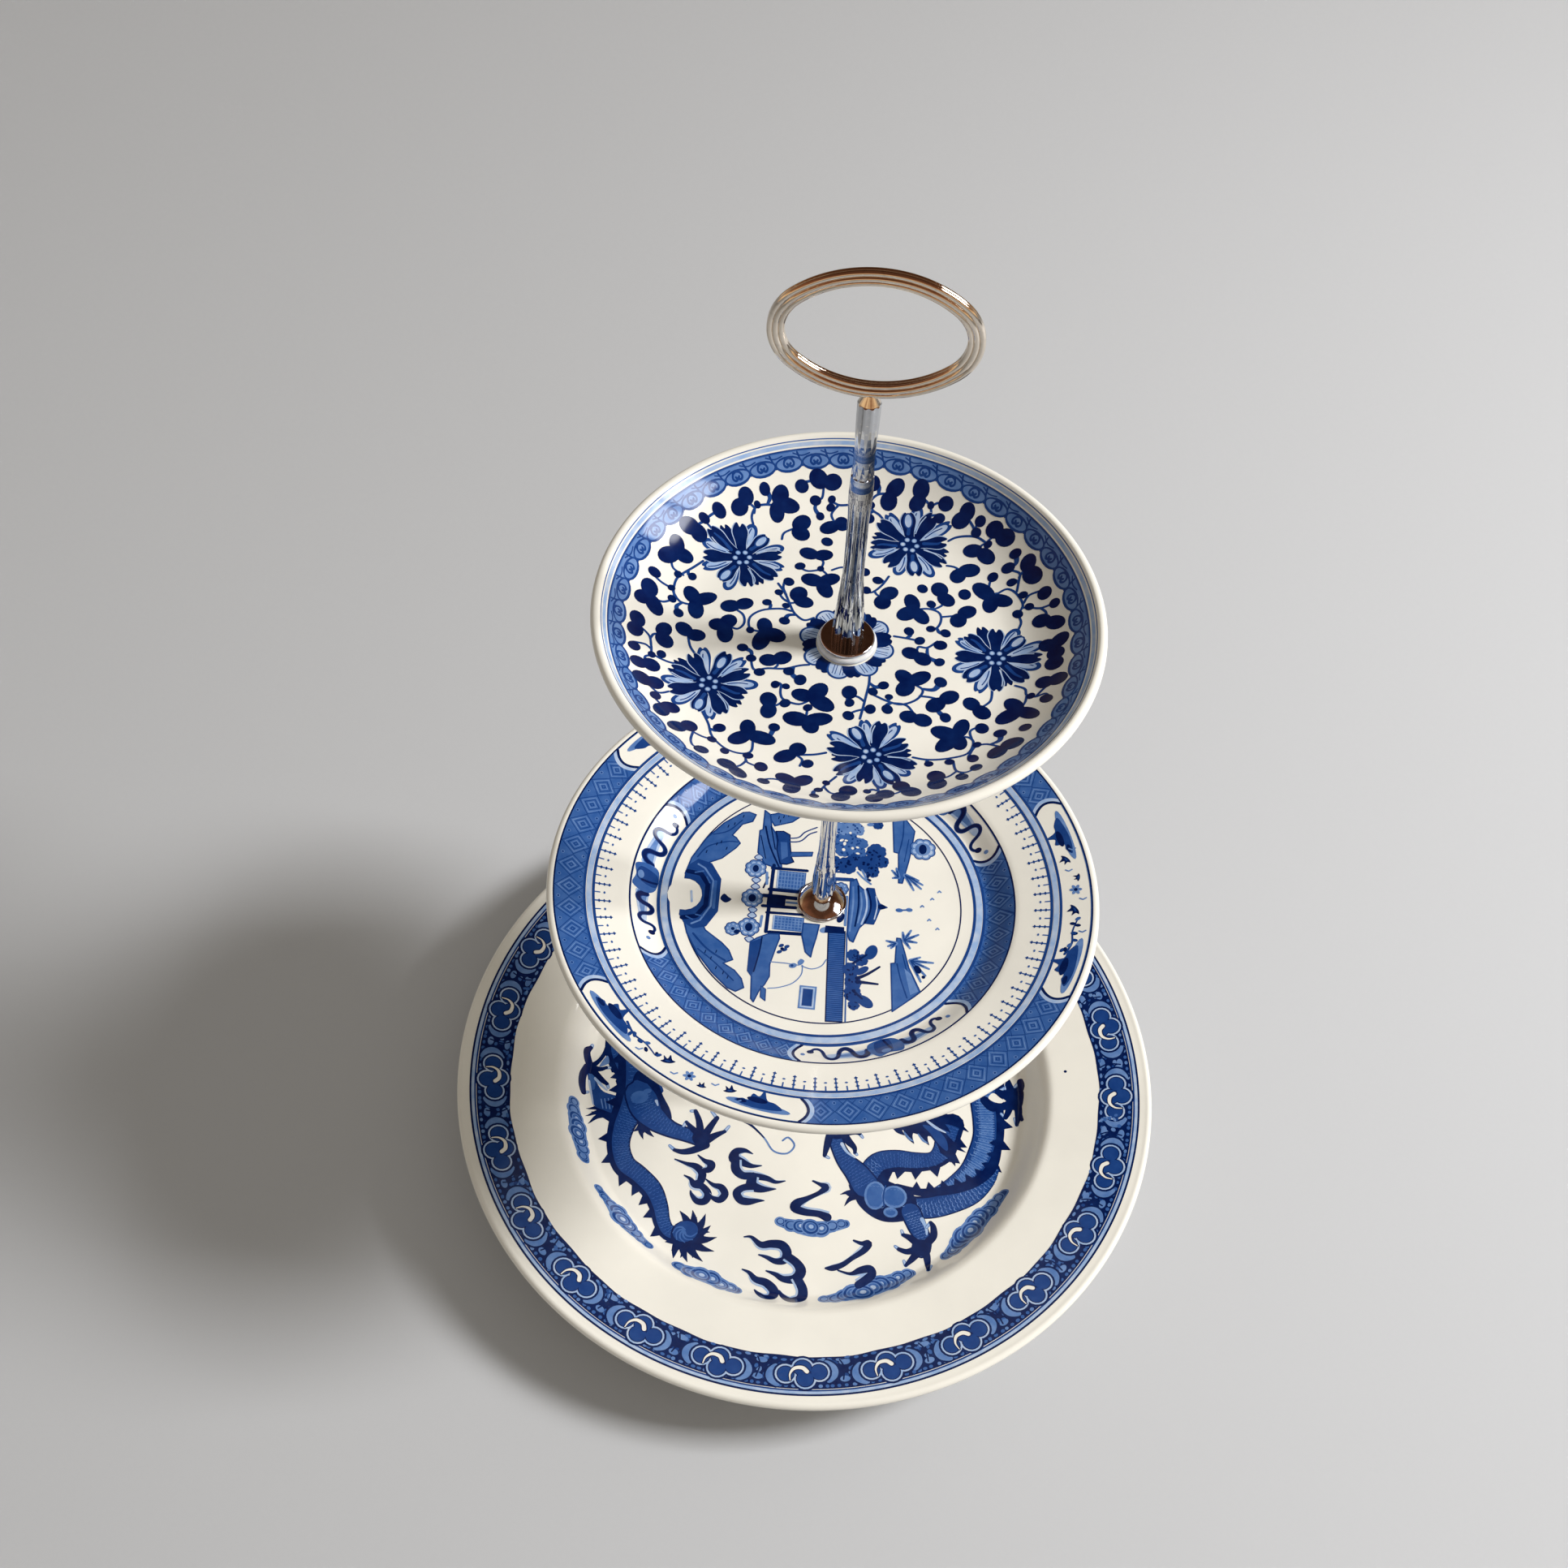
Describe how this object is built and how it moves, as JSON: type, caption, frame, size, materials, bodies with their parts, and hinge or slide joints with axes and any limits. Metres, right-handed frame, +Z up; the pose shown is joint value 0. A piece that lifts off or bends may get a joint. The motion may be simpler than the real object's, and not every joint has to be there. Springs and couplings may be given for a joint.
{
  "type": "tiered cake stand",
  "caption": "Tiered cake stand: round porcelain plates stacked on a screwed, fluted metal column, lifted by an oval ring handle.",
  "frame": {"origin": "centre of the lower plate's foot ring, on the surface that the stand rests on", "axes": "+Z up along the column; the ring handle lies in the XZ plane at rest"},
  "size_m": [0.254, 0.254, 0.3891],
  "materials": {
    "porcelain": "glossy glaze with underglaze blue",
    "chrome": "polished",
    "white_plastic": "satin",
    "zinc_steel": "zinc plated"
  },
  "bodies": {
    "lower_plate": {"lower_plate": "porcelain"},
    "column": {"lower_rod": "chrome", "middle_rod": "chrome", "upper_rod": "chrome", "base_screw": "chrome", "lower_domed_cap": "chrome", "middle_domed_cap": "chrome", "upper_disc": "chrome", "lower_under_disc": "chrome", "middle_under_disc": "chrome", "upper_under_disc": "chrome", "lower_top_washer": "white_plastic", "middle_top_washer": "white_plastic", "upper_pad": "white_plastic", "lower_under_washer": "white_plastic", "middle_under_washer": "white_plastic", "upper_under_washer": "white_plastic", "middle_stud": "zinc_steel", "upper_stud": "zinc_steel"},
    "middle_plate": {"middle_plate": "porcelain"},
    "upper_plate": {"upper_plate": "porcelain"},
    "handle_stud": {"handle_stud": "zinc_steel"},
    "ring": {"ring_handle": "chrome"}
  },
  "joints": [
    {"name": "column_turn", "type": "hinge", "parent": "lower_plate", "child": "column", "pos_m": [0, 0, 0.009], "axis": [0, 0, 1], "continuous": true},
    {"name": "middle_plate_turn", "type": "hinge", "parent": "column", "child": "middle_plate", "pos_m": [0, 0, 0.1362], "axis": [0, 0, 1], "continuous": true},
    {"name": "upper_plate_turn", "type": "hinge", "parent": "column", "child": "upper_plate", "pos_m": [0, 0, 0.2634], "axis": [0, 0, 1], "continuous": true},
    {"name": "handle_lift", "type": "slide", "parent": "column", "child": "handle_stud", "axis": [0, 0, 1], "range_m": [0, 0.0028]},
    {"name": "handle_turn", "type": "hinge", "parent": "handle_stud", "child": "ring", "pos_m": [0, 0, 0.3505], "axis": [0, 0, 1], "range_deg": [0, 1440]}
  ],
  "couplings": [
    {"joint": "handle_turn", "follows": "handle_lift", "rad_per_m": 8976}
  ]
}
